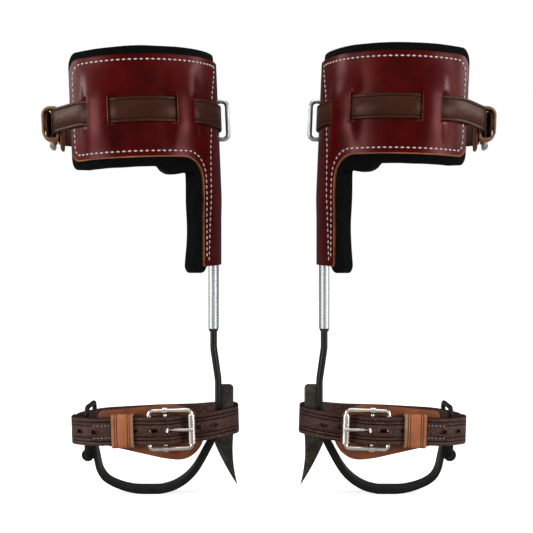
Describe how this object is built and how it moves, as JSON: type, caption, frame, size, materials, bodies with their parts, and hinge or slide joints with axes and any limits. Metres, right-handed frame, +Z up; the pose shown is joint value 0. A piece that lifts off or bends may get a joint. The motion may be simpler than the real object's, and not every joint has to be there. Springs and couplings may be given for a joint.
{
  "type": "tree climbing spikes",
  "caption": "Pair of tree climbing spikes: forged stirrup irons with gaffs, buckled ankle straps and leather calf pads on height-adjustable sleeves.",
  "frame": {"origin": "on the ground under the stirrups, in the middle of the pair's width and depth", "axes": "+Z up along the shanks, +X from the left climber to the right one, +Y away from the pads' outer faces"},
  "size_m": [0.486, 0.1883, 0.4568],
  "materials": {
    "black_steel": "black satin paint on forged steel",
    "forged_steel": "bare forged steel, grey-brown",
    "black_screw": "black oxide",
    "polished_sleeve": "polished bright",
    "black_plastic": "moulded nylon",
    "zinc_wire": "zinc plated wire",
    "oxblood_leather": "glazed oxblood bridle leather",
    "black_felt": "thick black wool felt",
    "brown_strap": "dark brown strap leather",
    "tan_leather": "tan leather",
    "nickel_buckle": "bright nickel plate"
  },
  "bodies": {
    "left_iron": {"left_leg_iron": "black_steel", "left_gaff": "forged_steel", "left_gaff_screws": "black_screw", "left_ankle_strap": "brown_strap", "left_ankle_buckle_frame": "nickel_buckle", "left_ankle_buckle_bar": "nickel_buckle", "left_ankle_shield": "tan_leather"},
    "left_pad": {"left_sleeve": "polished_sleeve", "left_sleeve_bush": "black_plastic", "left_height_screws": "black_screw", "left_calf_ring": "zinc_wire", "left_pad_leather": "oxblood_leather", "left_pad_liner": "black_felt", "left_calf_strap": "brown_strap", "left_calf_buckle_frame": "nickel_buckle", "left_calf_buckle_bar": "nickel_buckle", "left_calf_shield": "tan_leather"},
    "left_link": {"left_strap_link": "black_steel"},
    "left_ankle_tongue": {"left_ankle_buckle_tongue": "nickel_buckle"},
    "left_ankle_roller": {"left_ankle_buckle_roller": "nickel_buckle"},
    "left_ankle_loop": {"left_ankle_keeper": "tan_leather"},
    "left_calf_tongue": {"left_calf_buckle_tongue": "nickel_buckle"},
    "left_calf_roller": {"left_calf_buckle_roller": "nickel_buckle"},
    "left_calf_loop": {"left_calf_keeper": "tan_leather"},
    "right_iron": {"right_leg_iron": "black_steel", "right_gaff": "forged_steel", "right_gaff_screws": "black_screw", "right_ankle_strap": "brown_strap", "right_ankle_buckle_frame": "nickel_buckle", "right_ankle_buckle_bar": "nickel_buckle", "right_ankle_shield": "tan_leather"},
    "right_pad": {"right_sleeve": "polished_sleeve", "right_sleeve_bush": "black_plastic", "right_height_screws": "black_screw", "right_calf_ring": "zinc_wire", "right_pad_leather": "oxblood_leather", "right_pad_liner": "black_felt", "right_calf_strap": "brown_strap", "right_calf_buckle_frame": "nickel_buckle", "right_calf_buckle_bar": "nickel_buckle", "right_calf_shield": "tan_leather"},
    "right_link": {"right_strap_link": "black_steel"},
    "right_ankle_tongue": {"right_ankle_buckle_tongue": "nickel_buckle"},
    "right_ankle_roller": {"right_ankle_buckle_roller": "nickel_buckle"},
    "right_ankle_loop": {"right_ankle_keeper": "tan_leather"},
    "right_calf_tongue": {"right_calf_buckle_tongue": "nickel_buckle"},
    "right_calf_roller": {"right_calf_buckle_roller": "nickel_buckle"},
    "right_calf_loop": {"right_calf_keeper": "tan_leather"}
  },
  "joints": [
    {"name": "left_height", "type": "slide", "parent": "left_iron", "child": "left_pad", "axis": [0, 0, 1], "range_m": [-0.01, 0.06]},
    {"name": "left_link_swing", "type": "hinge", "parent": "left_iron", "child": "left_link", "pos_m": [-0.18811, -0.0079, 0.041], "axis": [0, 1, 0], "range_deg": [-5, 3]},
    {"name": "left_ankle_tongue_swing", "type": "hinge", "parent": "left_iron", "child": "left_ankle_tongue", "pos_m": [-0.1044, -0.0539, 0.072], "axis": [0.0349, 0, -0.9994], "range_deg": [0, 8]},
    {"name": "left_ankle_roller_spin", "type": "hinge", "parent": "left_iron", "child": "left_ankle_roller", "pos_m": [-0.07792, -0.0539, 0.07293], "axis": [-0.0349, 0, 0.9994], "continuous": true},
    {"name": "left_ankle_keeper_slide", "type": "slide", "parent": "left_iron", "child": "left_ankle_loop", "axis": [0.9994, 0, 0.0349], "range_m": [-0.006, 0.0015]},
    {"name": "left_calf_tongue_swing", "type": "hinge", "parent": "left_pad", "child": "left_calf_tongue", "pos_m": [-0.23143, 0.01422, 0.3848], "axis": [-0.0419, 0, 0.9991], "range_deg": [0, 8]},
    {"name": "left_calf_roller_spin", "type": "hinge", "parent": "left_pad", "child": "left_calf_roller", "pos_m": [-0.23512, 0.04046, 0.38464], "axis": [0.0419, 0, -0.9991], "continuous": true},
    {"name": "left_calf_keeper_slide", "type": "slide", "parent": "left_pad", "child": "left_calf_loop", "axis": [-0.1391, 0.9903, -0.0058], "range_m": [-0.004, 0.0015]},
    {"name": "right_lift", "type": "slide", "parent": "left_iron", "child": "right_iron", "axis": [0, 0, 1], "range_m": [0, 0.5]},
    {"name": "right_height", "type": "slide", "parent": "right_iron", "child": "right_pad", "axis": [0, 0, 1], "range_m": [-0.01, 0.06]},
    {"name": "right_link_swing", "type": "hinge", "parent": "right_iron", "child": "right_link", "pos_m": [0.18811, -0.0079, 0.041], "axis": [0, -1, 0], "range_deg": [-5, 3]},
    {"name": "right_ankle_tongue_swing", "type": "hinge", "parent": "right_iron", "child": "right_ankle_tongue", "pos_m": [0.1044, -0.0539, 0.072], "axis": [0.0349, 0, 0.9994], "range_deg": [0, 8]},
    {"name": "right_ankle_roller_spin", "type": "hinge", "parent": "right_iron", "child": "right_ankle_roller", "pos_m": [0.07792, -0.0539, 0.07293], "axis": [-0.0349, 0, -0.9994], "continuous": true},
    {"name": "right_ankle_keeper_slide", "type": "slide", "parent": "right_iron", "child": "right_ankle_loop", "axis": [-0.9994, 0, 0.0349], "range_m": [-0.006, 0.0015]},
    {"name": "right_calf_tongue_swing", "type": "hinge", "parent": "right_pad", "child": "right_calf_tongue", "pos_m": [0.23143, 0.01422, 0.3848], "axis": [-0.0419, 0, -0.9991], "range_deg": [0, 8]},
    {"name": "right_calf_roller_spin", "type": "hinge", "parent": "right_pad", "child": "right_calf_roller", "pos_m": [0.23512, 0.04046, 0.38464], "axis": [0.0419, 0, 0.9991], "continuous": true},
    {"name": "right_calf_keeper_slide", "type": "slide", "parent": "right_pad", "child": "right_calf_loop", "axis": [0.1391, 0.9903, -0.0058], "range_m": [-0.004, 0.0015]}
  ]
}
